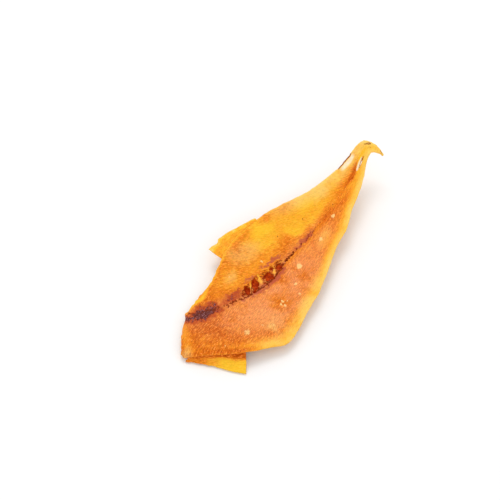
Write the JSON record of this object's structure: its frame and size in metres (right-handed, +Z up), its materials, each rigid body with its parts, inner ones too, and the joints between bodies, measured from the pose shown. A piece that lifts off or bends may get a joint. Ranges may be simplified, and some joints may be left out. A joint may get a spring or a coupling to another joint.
{
  "type": "smoked fish fillet",
  "caption": "Dried and smoked white-fish fillet: a thin curled sheet with a hollow middle, a bent belly flap, a torn skin strip and a hooked tail end.",
  "frame": {"origin": "on the table, under the middle of the fillet's box", "axes": "+X from the head end to the tail, +Y towards the dorsal edge, +Z up out of the flesh side"},
  "size_m": [0.1999, 0.0808, 0.0304],
  "materials": {
    "smoked_flesh": "dried amber flesh with a greasy sheen, thin and yellow at its edges"
  },
  "bodies": {
    "root": {"fillet": "smoked_flesh"}
  },
  "joints": []
}
